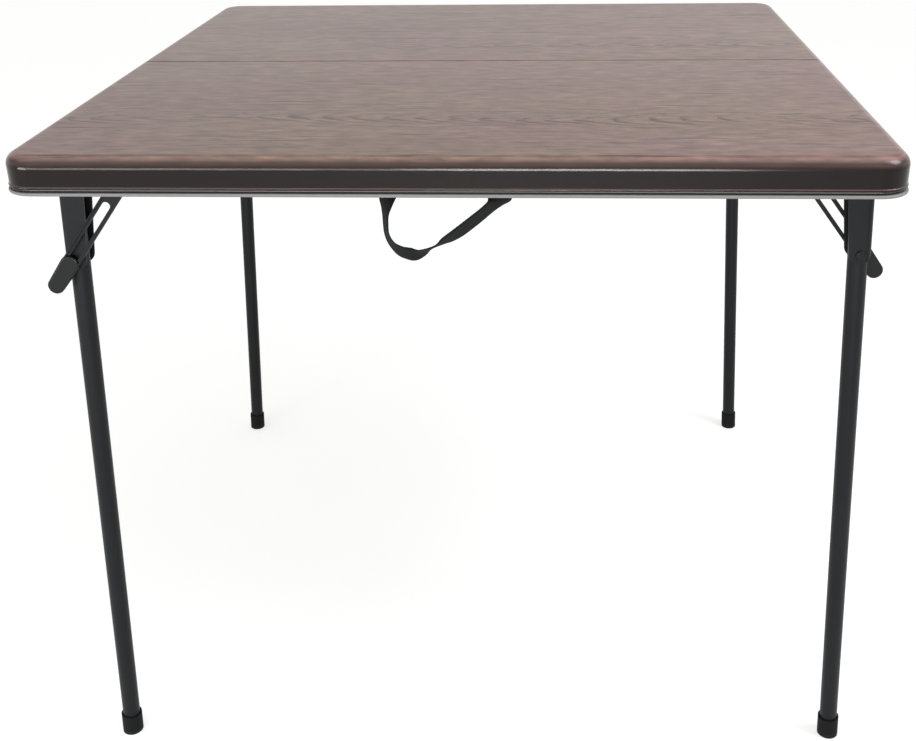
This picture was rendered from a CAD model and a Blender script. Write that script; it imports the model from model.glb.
from math import cos, pi, radians, sin

import bmesh
import bpy
from mathutils import Matrix, Vector


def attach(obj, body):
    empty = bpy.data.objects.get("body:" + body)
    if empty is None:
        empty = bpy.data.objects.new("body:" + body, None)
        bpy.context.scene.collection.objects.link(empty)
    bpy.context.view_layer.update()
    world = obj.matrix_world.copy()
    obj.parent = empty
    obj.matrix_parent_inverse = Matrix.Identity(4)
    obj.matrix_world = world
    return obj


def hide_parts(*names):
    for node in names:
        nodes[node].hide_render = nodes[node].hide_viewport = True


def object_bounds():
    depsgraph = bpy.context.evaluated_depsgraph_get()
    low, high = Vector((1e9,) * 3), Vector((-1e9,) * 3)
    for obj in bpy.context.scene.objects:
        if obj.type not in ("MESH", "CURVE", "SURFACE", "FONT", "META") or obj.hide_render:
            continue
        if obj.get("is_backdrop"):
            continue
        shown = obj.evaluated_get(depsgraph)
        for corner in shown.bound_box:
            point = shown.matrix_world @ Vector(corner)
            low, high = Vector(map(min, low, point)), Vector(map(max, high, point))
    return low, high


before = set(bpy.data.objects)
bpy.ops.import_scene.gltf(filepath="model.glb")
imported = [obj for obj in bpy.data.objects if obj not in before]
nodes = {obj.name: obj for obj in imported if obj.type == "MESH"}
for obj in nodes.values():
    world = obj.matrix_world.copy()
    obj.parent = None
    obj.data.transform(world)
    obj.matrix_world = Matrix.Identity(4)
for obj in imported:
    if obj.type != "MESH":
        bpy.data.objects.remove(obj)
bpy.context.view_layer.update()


# The photographer's place: a little right of the table's middle, about 0.3 m above its top, looking down at
# the front edge. The lens and the picture's shift are those that line its outline up with the photograph.
picture_width = 916
picture_height = 741
focal_px = 1192.6
centre_px = (488.9, 331.0)
eye = Vector((0.1052, -1.4976, 1.0487))
yaw, pitch, roll = 0.0636, -0.4291, 0.0167
sensor_mm = 36
far_clip = 100

lens = bpy.data.cameras.new("viewpoint")
lens.sensor_width = sensor_mm
lens.lens = focal_px / picture_width * sensor_mm
lens.shift_x = (picture_width / 2 - centre_px[0]) / picture_width
lens.shift_y = (centre_px[1] - picture_height / 2) / picture_width
lens.clip_end = far_clip
camera = bpy.data.objects.new("viewpoint", lens)
turn = Matrix.Rotation(yaw, 4, "Z") @ Matrix.Rotation(pitch, 4, "X") @ Matrix.Rotation(roll, 4, "Y")
camera.matrix_world = Matrix.Translation(eye) @ turn @ Matrix.Rotation(pi / 2, 4, "X")
bpy.context.scene.collection.objects.link(camera)
bpy.context.scene.camera = camera
bpy.context.scene.view_settings.view_transform = "Standard"


# The studio: a pale seamless floor, soft light from all sides with a white backdrop behind, and a broad high
# lamp. Three low soft boxes in front stay under the level of the top, so that only the rim and the legs catch
# them, and one high box on the right lights the rounded corner. The floor keeps the table's soft shadow.
def linear(hex_code):
    """An sRGB hex colour as linear RGBA."""
    channels = [int(hex_code[i:i + 2], 16) / 255 for i in (1, 3, 5)]
    return [c / 12.92 if c <= 0.04045 else ((c + 0.055) / 1.055) ** 2.4 for c in channels] + [1.0]


def add_node(tree, kind, inputs=None, **settings):
    """Add one node; inputs takes values or sockets by name or number."""
    made = tree.nodes.new(kind)
    for name, value in settings.items():
        setattr(made, name, value)
    for key, value in (inputs or {}).items():
        socket = made.inputs[key]
        if isinstance(value, bpy.types.NodeSocket):
            tree.links.new(value, socket)
        else:
            socket.default_value = value
    return made


def new_material(name):
    """A material without nodes but its output; returns it, its tree and its surface socket."""
    material = bpy.data.materials.new(name)
    material.use_nodes = True
    tree = material.node_tree
    tree.nodes.clear()
    output = tree.nodes.new("ShaderNodeOutputMaterial")
    return material, tree, output.inputs["Surface"]


def add_object(name, mesh, material, smooth=True):
    """Link a mesh as one object with one material."""
    made = bpy.data.objects.new(name, mesh)
    mesh.materials.append(material)
    if smooth:
        for face in mesh.polygons:
            face.use_smooth = True
    bpy.context.scene.collection.objects.link(made)
    return made


paper_grey = "#B4B4B2"
floor_half = 30
floor_glow = 0.62
sky_strength = 0.36
backdrop_top = (0.16, 0.34)
backdrop_side = (-0.3, 0.2)
lamp_strength = 1.3
lamp_breadth = radians(90)
lamp_tilt = (radians(8), radians(-4), 0)

paper, tree, surface = new_material("seamless_paper")
ray = add_node(tree, "ShaderNodeLightPath")
plain = add_node(tree, "ShaderNodeBsdfDiffuse", {"Color": linear(paper_grey)})
glow = add_node(tree, "ShaderNodeEmission", {"Color": linear("#FFFFFF"), "Strength": floor_glow})
seen = add_node(tree, "ShaderNodeMath", {0: ray.outputs["Is Camera Ray"], 1: ray.outputs["Is Glossy Ray"]},
                operation="MAXIMUM")
lift = add_node(tree, "ShaderNodeAddShader", {0: plain.outputs[0], 1: glow.outputs[0]})
pick = add_node(tree, "ShaderNodeMixShader", {0: seen.outputs[0], 1: plain.outputs[0], 2: lift.outputs[0]})
tree.links.new(pick.outputs[0], surface)

floor_mesh = bpy.data.meshes.new("studio_floor")
sheet = bmesh.new()
for x, y in ((-1, -1), (1, -1), (1, 1), (-1, 1)):
    sheet.verts.new((x * floor_half, y * floor_half, 0))
sheet.faces.new(sheet.verts[:])
sheet.to_mesh(floor_mesh)
sheet.free()
add_object("studio_floor", floor_mesh, paper, smooth=False)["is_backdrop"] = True

# The sky is soft and even, and white to the camera. A white backdrop stands low behind the table, and fades
# out between the two heights and the two sides given above.
sky = bpy.data.worlds.new("studio_sky")
sky.use_nodes = True
bpy.context.scene.world = sky
tree = sky.node_tree
tree.nodes.clear()
ray = add_node(tree, "ShaderNodeLightPath")
place = add_node(tree, "ShaderNodeTexCoord")
axes = add_node(tree, "ShaderNodeSeparateXYZ", {0: place.outputs["Generated"]})
low = add_node(tree, "ShaderNodeMapRange",
               {0: axes.outputs["Z"], 1: backdrop_top[0], 2: backdrop_top[1], 3: 1.0, 4: 0.0})
behind = add_node(tree, "ShaderNodeMapRange",
                  {0: axes.outputs["Y"], 1: backdrop_side[0], 2: backdrop_side[1], 3: 0.0, 4: 1.0})
backdrop = add_node(tree, "ShaderNodeMath", {0: low.outputs[0], 1: behind.outputs[0]}, operation="MULTIPLY")
white = add_node(tree, "ShaderNodeBackground", {"Color": linear("#FFFFFF"), "Strength": 1.0})
soft = add_node(tree, "ShaderNodeBackground", {"Color": linear("#FBFCFF"), "Strength": sky_strength})
seen = add_node(tree, "ShaderNodeMath", {0: ray.outputs["Is Camera Ray"], 1: backdrop.outputs[0]},
                operation="MAXIMUM")
pick = add_node(tree, "ShaderNodeMixShader", {0: seen.outputs[0], 1: soft.outputs[0], 2: white.outputs[0]})
add_node(tree, "ShaderNodeOutputWorld", {"Surface": pick.outputs[0]})

lamp = bpy.data.lights.new("broad_lamp", "SUN")
lamp.energy = lamp_strength
lamp.angle = lamp_breadth
lamp_stand = bpy.data.objects.new("broad_lamp", lamp)
lamp_stand.rotation_euler = lamp_tilt
bpy.context.scene.collection.objects.link(lamp_stand)

# Each soft box: name, place, what it faces, width, height, watts
soft_boxes = [
    ("front_soft_box", (0.12, -2.9, 0.6), (0.08, -0.4, 0.7), 0.95, 0.22, 34),
    ("front_left_soft_box", (-1.05, -2.9, 0.6), (-0.2, -0.4, 0.7), 1.1, 0.22, 15),
    ("left_soft_box", (-1.75, -1.8, 0.6), (-0.4, -0.4, 0.7), 0.8, 0.22, 15),
    ("right_soft_box", (1.76, -0.73, 2.1), (0.4, -0.4, 0.73), 1.0, 1.0, 36),
]
for name, spot, target, width, height, watts in soft_boxes:
    light = bpy.data.lights.new(name, "AREA")
    light.shape = "RECTANGLE"
    light.size = width
    light.size_y = height
    light.energy = watts
    aim = (Vector(target) - Vector(spot)).to_track_quat("-Z", "Y").to_matrix().to_4x4()
    stand = bpy.data.objects.new(name, light)
    stand.matrix_world = Matrix.Translation(spot) @ aim
    bpy.context.scene.collection.objects.link(stand)


# The two halves of the top are blow-moulded polyethylene. A printed wood-grain film is moulded on to the top
# and the rim, and the lip and the underside show the bare light grey plastic, finely pebbled by the mould.
# The film is stretched and darkens where it is drawn down over the rim, but not along the seam.
def dress(material, *names):
    """Give CAD pieces a material."""
    for name in names:
        slots = nodes[name].material_slots
        if not slots:
            nodes[name].data.materials.append(material)
        for slot in slots:
            slot.material = material


# Where the film ends: height of the table and of the lip, reach of the outer wall, half width of the band
# along the seam, and how far up or sideways a face has to look
table_height = 0.735
lip_top = 0.7003
wall_reach = 0.40
seam_half = 0.012
flat_facing = 0.3
side_facing = 0.3

# The arches: their line in each half and how far it wanders, their pitches, and where they show
plank_lines = (-0.285, 0.1)
wander_reach = 0.035
arch_pitch_mm = 34
ring_pitch_mm = 11
arch_width_mm = 10
ring_raggedness = 1.5
ring_start = 0.62
heart_reach = (0.012, 0.034)
far_marks = 0.12
patch_range = (0.36, 0.56)
patch_marks = 0.25

# The part of each noise that is used, and how strongly it shows
hue_range = (0.38, 0.62)
noise_range = (0.3, 0.7)
fibre_swing = 0.15
blotch_swing = 0.26
streak_range = (0.6, 0.7)
streak_darkness = 0.6
pore_range = (0.6, 0.74)
pore_darkness = 0.2

# From the top to the rim: over which slopes the film darkens and to what share, then its emboss and gloss
edge_facing = (0.58, 0.86)
edge_share = 0.32
wall_facing = (0.1, 0.4)
wall_share = 0.16
rim_range = (0.05, 1.0)
rim_emboss, top_emboss = 0.08, 0.35
emboss_depth = 0.0006
rim_shine, top_shine = 0.2, 0.4
rim_roughness, top_roughness = 0.17, 0.28

# The bare plastic
bare_roughness = 0.55
pebble_mm = 1.6

# The rear half's sheet is another part of the same print, this far off
rear_sheet_step = 3.7

# Each pattern in the print: length and width in mm, factor on the step between the sheets, detail, roughness.
# The fibres, pores and blotches are coarser than real ones, so that they show.
print_patterns = {
    "drift": (450, 140, 1.0, 2.0, 0.45),
    "ragged": (62, 16.5, 1.0, 3.0, 0.6),
    "patch": (220, 70, 2.0, 2.0, 0.5),
    "fibre": (45, 5, 1.0, 4.0, 0.62),
    "pore": (42, 4.4, 1.0, 1.5, 0.5),
    "tone": (620, 100, 1.0, 3.0, 0.5),
    "hue": (330, 165, 1.0, 1.0, 0.5),
    "blotch": (24, 11, 1.0, 2.0, 0.5),
    "streak": (150, 8, 1.0, 2.0, 0.5),
}

film, tree, surface = new_material("moulded_wood_grain_film_on_polyethylene")
place = add_node(tree, "ShaderNodeTexCoord")
axes = add_node(tree, "ShaderNodeSeparateXYZ", {0: place.outputs["Object"]})
facing = add_node(tree, "ShaderNodeSeparateXYZ", {0: place.outputs["Normal"]})

# The print's own coordinates run on from the top down over the rim, and each half has its own sheet
drop = add_node(tree, "ShaderNodeMath", {0: axes.outputs["Z"], 1: table_height}, operation="SUBTRACT")
over_x = add_node(tree, "ShaderNodeMath", {0: drop.outputs[0], 1: facing.outputs["X"]}, operation="MULTIPLY")
over_y = add_node(tree, "ShaderNodeMath", {0: drop.outputs[0], 1: facing.outputs["Y"]}, operation="MULTIPLY")
along = add_node(tree, "ShaderNodeMath", {0: axes.outputs["X"], 1: over_x.outputs[0]}, operation="SUBTRACT")
across = add_node(tree, "ShaderNodeMath", {0: axes.outputs["Y"], 1: over_y.outputs[0]}, operation="SUBTRACT")
rear = add_node(tree, "ShaderNodeMath", {0: axes.outputs["Y"], 1: 0.0}, operation="GREATER_THAN")
sheet_no = add_node(tree, "ShaderNodeMath", {0: rear.outputs[0], 1: rear_sheet_step}, operation="MULTIPLY")
grain = add_node(tree, "ShaderNodeCombineXYZ",
                 {0: along.outputs[0], 1: across.outputs[0], 2: sheet_no.outputs[0]})
printed = {}
for name, (length_mm, width_mm, sheet_factor, detail, roughness) in print_patterns.items():
    scaled = add_node(tree, "ShaderNodeVectorMath",
                      {0: grain.outputs[0], 1: (1000 / length_mm, 1000 / width_mm, sheet_factor)},
                      operation="MULTIPLY")
    noise = add_node(tree, "ShaderNodeTexNoise", {"Vector": scaled.outputs[0], "Scale": 1.0, "Detail": detail,
                                                  "Roughness": roughness})
    printed[name] = noise.outputs["Fac"]

# Flat-sawn arches: nested points on a wandering centre line in each half, running out into long lines
wander = add_node(tree, "ShaderNodeMapRange",
                  {0: printed["drift"], 1: 0.0, 2: 1.0, 3: -wander_reach, 4: wander_reach})
bent = add_node(tree, "ShaderNodeMath", {0: across.outputs[0], 1: wander.outputs[0]}, operation="ADD")
heart = add_node(tree, "ShaderNodeMapRange",
                 {0: rear.outputs[0], 1: 0.0, 2: 1.0, 3: plank_lines[0], 4: plank_lines[1]})
offset = add_node(tree, "ShaderNodeMath", {0: bent.outputs[0], 1: heart.outputs[0]}, operation="SUBTRACT")
squared = add_node(tree, "ShaderNodeMath", {0: offset.outputs[0], 1: 2.0}, operation="POWER")
rounded = add_node(tree, "ShaderNodeMath", {0: squared.outputs[0], 1: (arch_width_mm / 1000) ** 2},
                   operation="ADD")
reach = add_node(tree, "ShaderNodeMath", {0: rounded.outputs[0], 1: 0.5}, operation="POWER")
rings = add_node(tree, "ShaderNodeMath", {0: reach.outputs[0], 1: 1000 / ring_pitch_mm}, operation="MULTIPLY")
march = add_node(tree, "ShaderNodeMath", {0: along.outputs[0], 1: 1000 / arch_pitch_mm}, operation="MULTIPLY")
phase = add_node(tree, "ShaderNodeMath", {0: rings.outputs[0], 1: march.outputs[0]}, operation="SUBTRACT")
ragged_phase = add_node(tree, "ShaderNodeMath",
                        {0: printed["ragged"], 1: ring_raggedness, 2: phase.outputs[0]},
                        operation="MULTIPLY_ADD")
saw = add_node(tree, "ShaderNodeMath", {0: ragged_phase.outputs[0]}, operation="FRACT")
ring_line = add_node(tree, "ShaderNodeMapRange", {0: saw.outputs[0], 1: ring_start, 2: 1.0, 3: 0.0, 4: 1.0})
near_heart = add_node(tree, "ShaderNodeMapRange",
                      {0: reach.outputs[0], 1: heart_reach[0], 2: heart_reach[1], 3: 1.0, 4: far_marks})
patchy = add_node(tree, "ShaderNodeMapRange",
                  {0: printed["patch"], 1: patch_range[0], 2: patch_range[1], 3: patch_marks, 4: 1.0})
marks = add_node(tree, "ShaderNodeMath", {0: ring_line.outputs[0], 1: near_heart.outputs[0]},
                 operation="MULTIPLY")
marks_here = add_node(tree, "ShaderNodeMath", {0: marks.outputs[0], 1: patchy.outputs[0]},
                      operation="MULTIPLY")

# Slow changes of tone and hue, then fibres and blotches, and the dark streaks, pores and arches over them
tone_mix = add_node(tree, "ShaderNodeMix", {0: printed["tone"], 6: linear("#6C554D"), 7: linear("#836C66")},
                    data_type="RGBA")
hue_ramp = add_node(tree, "ShaderNodeMapRange",
                    {0: printed["hue"], 1: hue_range[0], 2: hue_range[1], 3: 0.0, 4: 1.0})
hue_mix = add_node(tree, "ShaderNodeMix",
                   {0: hue_ramp.outputs[0], 6: linear("#FFFFF2"), 7: linear("#FFF5F6")}, data_type="RGBA")
toned = add_node(tree, "ShaderNodeVectorMath", {0: tone_mix.outputs[2], 1: hue_mix.outputs[2]},
                 operation="MULTIPLY")
fibre_ramp = add_node(tree, "ShaderNodeMapRange",
                      {0: printed["fibre"], 1: noise_range[0], 2: noise_range[1],
                       3: 1 - fibre_swing, 4: 1 + fibre_swing})
blotch_ramp = add_node(tree, "ShaderNodeMapRange",
                       {0: printed["blotch"], 1: noise_range[0], 2: noise_range[1],
                        3: 1 - blotch_swing, 4: 1 + blotch_swing})
grain_ramp = add_node(tree, "ShaderNodeMath", {0: fibre_ramp.outputs[0], 1: blotch_ramp.outputs[0]},
                      operation="MULTIPLY")
fibre_mix = add_node(tree, "ShaderNodeVectorMath", {0: toned.outputs[0], 1: grain_ramp.outputs[0]},
                     operation="MULTIPLY")
streaks = add_node(tree, "ShaderNodeMapRange",
                   {0: printed["streak"], 1: streak_range[0], 2: streak_range[1], 3: 0.0, 4: streak_darkness})
pores = add_node(tree, "ShaderNodeMapRange",
                 {0: printed["pore"], 1: pore_range[0], 2: pore_range[1], 3: 0.0, 4: pore_darkness})
drawn_share = add_node(tree, "ShaderNodeMath", {0: streaks.outputs[0], 1: pores.outputs[0]},
                       operation="MAXIMUM")
dark_share = add_node(tree, "ShaderNodeMath", {0: marks_here.outputs[0], 1: drawn_share.outputs[0]},
                      operation="MAXIMUM")
wood = add_node(tree, "ShaderNodeMix",
                {0: dark_share.outputs[0], 6: fibre_mix.outputs[0], 7: linear("#3A2E2B")}, data_type="RGBA")

# Film or bare plastic: the film lies on what faces up, on the outer wall above the lip and along the seam
out_x = add_node(tree, "ShaderNodeMath", {0: axes.outputs["X"], 1: facing.outputs["X"]}, operation="MULTIPLY")
out_y = add_node(tree, "ShaderNodeMath", {0: axes.outputs["Y"], 1: facing.outputs["Y"], 2: out_x.outputs[0]},
                 operation="MULTIPLY_ADD")
faces_out = add_node(tree, "ShaderNodeMath", {0: out_y.outputs[0], 1: wall_reach}, operation="GREATER_THAN")
side_x = add_node(tree, "ShaderNodeMath", {0: axes.outputs["X"]}, operation="ABSOLUTE")
side_y = add_node(tree, "ShaderNodeMath", {0: axes.outputs["Y"]}, operation="ABSOLUTE")
side_most = add_node(tree, "ShaderNodeMath", {0: side_x.outputs[0], 1: side_y.outputs[0]},
                     operation="MAXIMUM")
near_rim = add_node(tree, "ShaderNodeMath", {0: side_most.outputs[0], 1: wall_reach},
                    operation="GREATER_THAN")
outward = add_node(tree, "ShaderNodeMath", {0: faces_out.outputs[0], 1: near_rim.outputs[0]},
                   operation="MULTIPLY")
upward = add_node(tree, "ShaderNodeMath", {0: facing.outputs["Z"], 1: flat_facing}, operation="GREATER_THAN")
seam_side = add_node(tree, "ShaderNodeMath", {0: axes.outputs["Y"], 1: 0.0, 2: seam_half},
                     operation="COMPARE")
outside = add_node(tree, "ShaderNodeMath", {0: outward.outputs[0], 1: upward.outputs[0]}, operation="MAXIMUM")
outside_all = add_node(tree, "ShaderNodeMath", {0: outside.outputs[0], 1: seam_side.outputs[0]},
                       operation="MAXIMUM")
above_lip = add_node(tree, "ShaderNodeMath", {0: axes.outputs["Z"], 1: lip_top}, operation="GREATER_THAN")
filmed = add_node(tree, "ShaderNodeMath", {0: outside_all.outputs[0], 1: above_lip.outputs[0]},
                  operation="MULTIPLY")

# rim_here is 1 on the top and falls to a small share down the rim, where the print fades into plain brown
edge_dark = add_node(tree, "ShaderNodeMapRange",
                     {0: facing.outputs["Z"], 1: edge_facing[0], 2: edge_facing[1], 3: edge_share, 4: 1.0})
wall_dark = add_node(tree, "ShaderNodeMapRange",
                     {0: facing.outputs["Z"], 1: wall_facing[0], 2: wall_facing[1], 3: wall_share, 4: 1.0})
rim_dark = add_node(tree, "ShaderNodeMath", {0: edge_dark.outputs[0], 1: wall_dark.outputs[0]},
                    operation="MULTIPLY")
sideways = add_node(tree, "ShaderNodeMath", {0: facing.outputs["X"], 1: 0.0, 2: side_facing},
                    operation="COMPARE")
seam_face = add_node(tree, "ShaderNodeMath", {0: seam_side.outputs[0], 1: sideways.outputs[0]},
                     operation="MULTIPLY")
rim_here = add_node(tree, "ShaderNodeMath", {0: rim_dark.outputs[0], 1: seam_face.outputs[0]},
                    operation="MAXIMUM")
drawn = add_node(tree, "ShaderNodeMix", {0: rim_here.outputs[0], 6: linear("#6E5A56"), 7: wood.outputs[2]},
                 data_type="RGBA")
wood_rim = add_node(tree, "ShaderNodeVectorMath", {0: drawn.outputs[2], 1: rim_here.outputs[0]},
                    operation="MULTIPLY")

# The bare plastic's pebble, the print's emboss, and the gloss of both
pebble = add_node(tree, "ShaderNodeTexNoise", {"Vector": place.outputs["Object"], "Scale": 1000 / pebble_mm,
                                               "Detail": 1.0})
bare = add_node(tree, "ShaderNodeMix", {0: pebble.outputs["Fac"], 6: linear("#767676"), 7: linear("#828281")},
                data_type="RGBA")
colour = add_node(tree, "ShaderNodeMix", {0: filmed.outputs[0], 6: bare.outputs[2], 7: wood_rim.outputs[0]},
                  data_type="RGBA")
fibre_height = add_node(tree, "ShaderNodeMath", {0: printed["fibre"], 1: dark_share.outputs[0]},
                        operation="SUBTRACT")
height = add_node(tree, "ShaderNodeMix",
                  {0: filmed.outputs[0], 2: pebble.outputs["Fac"], 3: fibre_height.outputs[0]},
                  data_type="FLOAT")
strength = add_node(tree, "ShaderNodeMapRange",
                    {0: rim_here.outputs[0], 1: rim_range[0], 2: rim_range[1], 3: rim_emboss, 4: top_emboss})
emboss = add_node(tree, "ShaderNodeBump", {"Height": height.outputs[0], "Strength": strength.outputs[0],
                                           "Distance": emboss_depth})
film_gloss = add_node(tree, "ShaderNodeMapRange",
                      {0: rim_here.outputs[0], 1: 0.0, 2: 1.0, 3: rim_roughness, 4: top_roughness})
gloss = add_node(tree, "ShaderNodeMix", {0: filmed.outputs[0], 2: bare_roughness, 3: film_gloss.outputs[0]},
                 data_type="FLOAT")
shine = add_node(tree, "ShaderNodeMapRange",
                 {0: rim_here.outputs[0], 1: rim_range[0], 2: rim_range[1], 3: rim_shine, 4: top_shine})
skin = add_node(tree, "ShaderNodeBsdfPrincipled", {
    "Base Color": colour.outputs[2], "Roughness": gloss.outputs[0], "IOR": 1.5,
    "Specular IOR Level": shine.outputs[0], "Normal": emboss.outputs[0]})
tree.links.new(skin.outputs[0], surface)
dress(film, "panel_front", "panel_rear")


# Centre hinges and all screws are mild steel, pressed or headed and then zinc plated. The plating is a thin
# satin layer with a faint cloudy bloom.
bloom_mm = 6.25
zinc_roughness = (0.3, 0.46)

zinc, tree, surface = new_material("zinc_plated_pressed_steel")
place = add_node(tree, "ShaderNodeTexCoord")
bloom = add_node(tree, "ShaderNodeTexNoise", {"Vector": place.outputs["Object"], "Scale": 1000 / bloom_mm,
                                              "Detail": 4.0})
shade = add_node(tree, "ShaderNodeMix", {0: bloom.outputs["Fac"], 6: linear("#A9ABA9"), 7: linear("#C9CBC8")},
                 data_type="RGBA")
rough = add_node(tree, "ShaderNodeMapRange",
                 {0: bloom.outputs["Fac"], 1: noise_range[0], 2: noise_range[1],
                  3: zinc_roughness[0], 4: zinc_roughness[1]})
skin = add_node(tree, "ShaderNodeBsdfPrincipled", {
    "Base Color": shade.outputs[2], "Metallic": 1.0, "Roughness": rough.outputs[0]})
tree.links.new(skin.outputs[0], surface)
for side in ("left", "middle", "right"):
    dress(zinc, f"hinge_leaf_front_{side}", f"hinge_leaf_rear_{side}", f"hinge_pin_{side}")
for half in ("front", "rear"):
    dress(zinc, f"hinge_screws_{half}", f"bracket_screws_{half}")
dress(zinc, "strap_screws")


# Legs, yokes, brackets, braces and their pins are steel tube and sheet, powder coated charcoal after
# pressing. The baked coat is satin and slightly cloudy, with a fine orange peel.
peel_mm = 1.1
peel_depth = 0.0002
cloud_mm = 45.45
coat_roughness = (0.36, 0.46)
corners = ("fl", "fr", "rl", "rr")

coat, tree, surface = new_material("charcoal_powder_coated_steel")
place = add_node(tree, "ShaderNodeTexCoord")
peel = add_node(tree, "ShaderNodeTexNoise", {"Vector": place.outputs["Object"], "Scale": 1000 / peel_mm,
                                             "Detail": 2.0})
mottle = add_node(tree, "ShaderNodeTexNoise", {"Vector": place.outputs["Object"], "Scale": 1000 / cloud_mm,
                                               "Detail": 3.0})
shade = add_node(tree, "ShaderNodeMix",
                 {0: mottle.outputs["Fac"], 6: linear("#111415"), 7: linear("#181B1C")}, data_type="RGBA")
rough = add_node(tree, "ShaderNodeMapRange",
                 {0: mottle.outputs["Fac"], 1: noise_range[0], 2: noise_range[1],
                  3: coat_roughness[0], 4: coat_roughness[1]})
dimple = add_node(tree, "ShaderNodeBump", {"Height": peel.outputs["Fac"], "Strength": 0.18,
                                           "Distance": peel_depth})
skin = add_node(tree, "ShaderNodeBsdfPrincipled", {
    "Base Color": shade.outputs[2], "Roughness": rough.outputs[0], "IOR": 1.5, "Specular IOR Level": 0.15,
    "Normal": dimple.outputs[0]})
tree.links.new(skin.outputs[0], surface)
for corner in corners:
    dress(coat, f"leg_bracket_{corner}", f"leg_pin_{corner}", f"leg_tube_{corner}", f"leg_yoke_{corner}",
          f"leg_brace_{corner}", f"slot_pin_{corner}", f"brace_rivet_{corner}")
dress(coat, "strap_plate_left", "strap_plate_right")


# Foot caps are moulded black rubber cups pushed over the tube ends. Rubber is matt, and a little paler where
# it rubs on the floor.
dust_mm = 4.167
grit_depth = 0.0003
worn_height = 0.008
worn_share = 0.5

rubber, tree, surface = new_material("moulded_black_rubber")
place = add_node(tree, "ShaderNodeTexCoord")
axes = add_node(tree, "ShaderNodeSeparateXYZ", {0: place.outputs["Object"]})
dust = add_node(tree, "ShaderNodeTexNoise", {"Vector": place.outputs["Object"], "Scale": 1000 / dust_mm,
                                             "Detail": 4.0})
low = add_node(tree, "ShaderNodeMapRange",
               {0: axes.outputs["Z"], 1: 0.0, 2: worn_height, 3: worn_share, 4: 0.0})
worn = add_node(tree, "ShaderNodeMath", {0: low.outputs[0], 1: dust.outputs["Fac"]}, operation="MULTIPLY")
shade = add_node(tree, "ShaderNodeMix", {0: worn.outputs[0], 6: linear("#0B0C0C"), 7: linear("#3A3A38")},
                 data_type="RGBA")
grit = add_node(tree, "ShaderNodeBump", {"Height": dust.outputs["Fac"], "Strength": 0.15,
                                         "Distance": grit_depth})
skin = add_node(tree, "ShaderNodeBsdfPrincipled", {
    "Base Color": shade.outputs[2], "Roughness": 0.7, "IOR": 1.5, "Specular IOR Level": 0.15,
    "Normal": grit.outputs[0]})
tree.links.new(skin.outputs[0], surface)
for corner in corners:
    dress(rubber, f"foot_cap_{corner}")


# Thumb grips are black nylon mouldings pressed over the ends of the braces. Their satin skin is smooth enough
# to catch one soft highlight on the rounded top edge.
spark_mm = 1.111
spark_depth = 0.0002

nylon, tree, surface = new_material("moulded_black_nylon")
place = add_node(tree, "ShaderNodeTexCoord")
spark = add_node(tree, "ShaderNodeTexNoise", {"Vector": place.outputs["Object"], "Scale": 1000 / spark_mm,
                                              "Detail": 1.0})
shade = add_node(tree, "ShaderNodeMix", {0: spark.outputs["Fac"], 6: linear("#090A0B"), 7: linear("#0F1112")},
                 data_type="RGBA")
fine = add_node(tree, "ShaderNodeBump", {"Height": spark.outputs["Fac"], "Strength": 0.12,
                                         "Distance": spark_depth})
skin = add_node(tree, "ShaderNodeBsdfPrincipled", {
    "Base Color": shade.outputs[2], "Roughness": 0.3, "IOR": 1.53, "Specular IOR Level": 0.22,
    "Normal": fine.outputs[0]})
tree.links.new(skin.outputs[0], surface)
for corner in corners:
    dress(nylon, f"brace_grip_{corner}")


# The carry strap is one length of black polypropylene webbing, woven with ribs along its length. Both ends
# are held behind the front rim, and between them it turns edge on and hangs in a lopsided loop.
strap_width = 0.025
strap_thick = 0.0017
strap_y = -0.4176
strap_left = -0.0605
strap_span = 0.109
strap_foot = 0.6943
strap_drop = 0.064
# Stations along the strap: share of the span, share of the drop, turn out of the plane of the rim in degrees
strap_shares = [
    (0.0, -0.3, 0), (0.0, -0.12, 0), (0.0, -0.02, 0), (0.004, 0.044, 44), (-0.004, 0.136, 57),
    (-0.01, 0.25, 67), (-0.01, 0.385, 70), (-0.008, 0.53, 70), (0.008, 0.655, 65), (0.048, 0.775, 57),
    (0.117, 0.877, 46), (0.175, 0.914, 42), (0.23, 0.928, 41), (0.29, 0.905, 53), (0.343, 0.858, 66),
    (0.39, 0.822, 71), (0.44, 0.786, 71), (0.485, 0.744, 66), (0.53, 0.693, 58), (0.632, 0.577, 53),
    (0.773, 0.385, 53), (0.908, 0.19, 54), (0.972, 0.085, 44), (1.0, -0.02, 0), (1.0, -0.12, 0),
    (1.0, -0.3, 0),
]
strap_steps = 8
edge_columns = 8
selvedge_share = 0.22
rib_mm = 1.9
pick_mm = 1.6
twill_share = 0.6
weave_depth = 0.0005


def between(rows, index, t):
    """A point on the smooth curve through the rows, a share t past row index."""
    a, b = rows[max(index - 1, 0)], rows[index]
    c, d = rows[index + 1], rows[min(index + 2, len(rows) - 1)]
    return [0.5 * (2 * q + (r - p) * t + (2 * p - 5 * q + 4 * r - s) * t * t
                   + (3 * q - p - 3 * r + s) * t ** 3)
            for p, q, r, s in zip(a, b, c, d)]


strap_rows = [between(strap_shares, i, k / strap_steps)
              for i in range(len(strap_shares) - 1) for k in range(strap_steps)] + [list(strap_shares[-1])]
strap_line = [Vector((strap_left + a * strap_span, strap_y, strap_foot - b * strap_drop))
              for a, b, _ in strap_rows]
section = [(-0.5 + k / edge_columns, 0.5 if 0 < k < edge_columns else selvedge_share)
           for k in range(edge_columns + 1)]
section += [(p, -q) for p, q in reversed(section)]
runs = [0.0]
for before, after in zip(strap_line, strap_line[1:]):
    runs.append(runs[-1] + (after - before).length)

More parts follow.
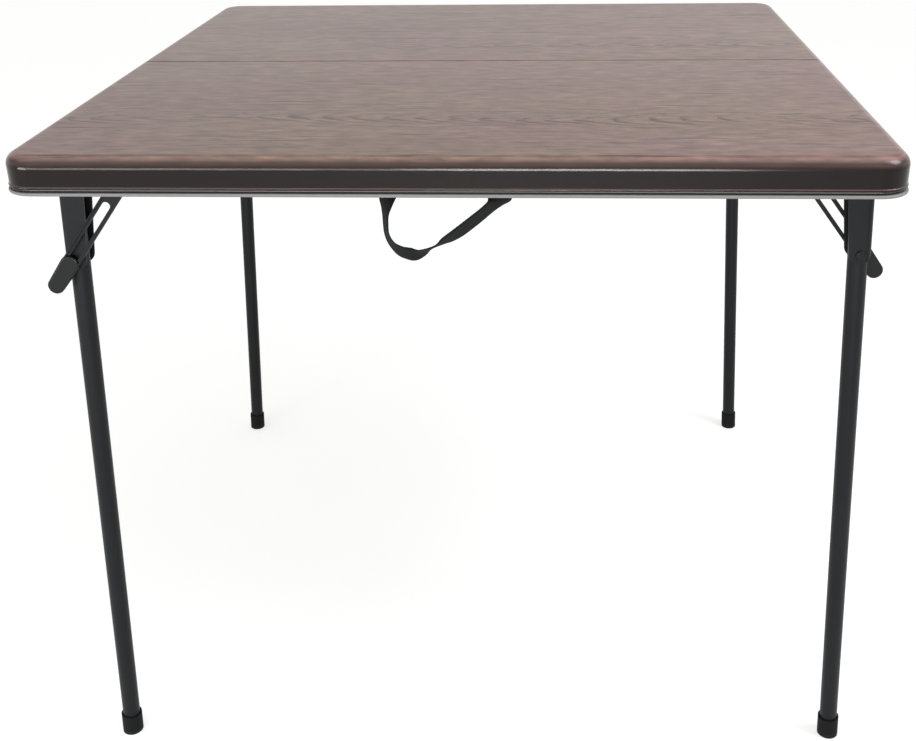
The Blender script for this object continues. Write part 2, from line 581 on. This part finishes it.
web = bmesh.new()
weave_layer = web.loops.layers.uv.new("weave")
rings_made = []
for i, (point, row) in enumerate(zip(strap_line, strap_rows)):
    ahead = (strap_line[min(i + 1, len(strap_line) - 1)] - strap_line[max(i - 1, 0)]).normalized()
    side = Vector((ahead.z, 0, -ahead.x))
    turned = radians(max(row[2], 0))
    wide = side * cos(turned) + Vector((0, 1, 0)) * sin(turned)
    thick = ahead.cross(wide)
    rings_made.append([web.verts.new(point + wide * (p * strap_width) + thick * (q * strap_thick))
                       for p, q in section])
count = len(section)
for i, (ring, following) in enumerate(zip(rings_made, rings_made[1:])):
    for k in range(count):
        after = (k + 1) % count
        face = web.faces.new((ring[k], ring[after], following[after], following[k]))
        for loop, (step, column) in zip(face.loops, ((i, k), (i, after), (i + 1, after), (i + 1, k))):
            loop[weave_layer].uv = (section[column][0] * strap_width, runs[step])
for ring in (rings_made[0], rings_made[-1]):
    web.faces.new(ring)
bmesh.ops.recalc_face_normals(web, faces=web.faces[:])
strap_mesh = bpy.data.meshes.new("webbing_strap")
web.to_mesh(strap_mesh)
web.free()

webbing, tree, surface = new_material("woven_black_polypropylene")
place = add_node(tree, "ShaderNodeUVMap", uv_map="weave")
axes = add_node(tree, "ShaderNodeSeparateXYZ", {0: place.outputs[0]})
rib_turn = add_node(tree, "ShaderNodeMath", {0: axes.outputs["X"], 1: 2 * pi * 1000 / rib_mm},
                    operation="MULTIPLY")
pick_turn = add_node(tree, "ShaderNodeMath", {0: axes.outputs["Y"], 1: 2 * pi * 1000 / pick_mm},
                     operation="MULTIPLY")
slant = add_node(tree, "ShaderNodeMath", {0: rib_turn.outputs[0], 1: pick_turn.outputs[0]}, operation="ADD")
rib = add_node(tree, "ShaderNodeMath", {0: rib_turn.outputs[0]}, operation="COSINE")
twill = add_node(tree, "ShaderNodeMath", {0: slant.outputs[0]}, operation="SINE")
weave = add_node(tree, "ShaderNodeMath", {0: twill.outputs[0], 1: twill_share, 2: rib.outputs[0]},
                 operation="MULTIPLY_ADD")
level = add_node(tree, "ShaderNodeMapRange",
                 {0: weave.outputs[0], 1: -1 - twill_share, 2: 1 + twill_share, 3: 0.0, 4: 1.0})
shade = add_node(tree, "ShaderNodeMix", {0: level.outputs[0], 6: linear("#060708"), 7: linear("#121516")},
                 data_type="RGBA")
relief = add_node(tree, "ShaderNodeBump", {"Height": level.outputs[0], "Strength": 0.8,
                                           "Distance": weave_depth})
skin = add_node(tree, "ShaderNodeBsdfPrincipled", {
    "Base Color": shade.outputs[2], "Roughness": 0.75, "IOR": 1.49, "Specular IOR Level": 0.15,
    "Normal": relief.outputs[0]})
tree.links.new(skin.outputs[0], surface)
strap = add_object("webbing_strap", strap_mesh, webbing)
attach(strap, "front_half")
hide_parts("carry_strap")


# The finished table's size, next to that of the model it was dressed from
low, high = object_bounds()
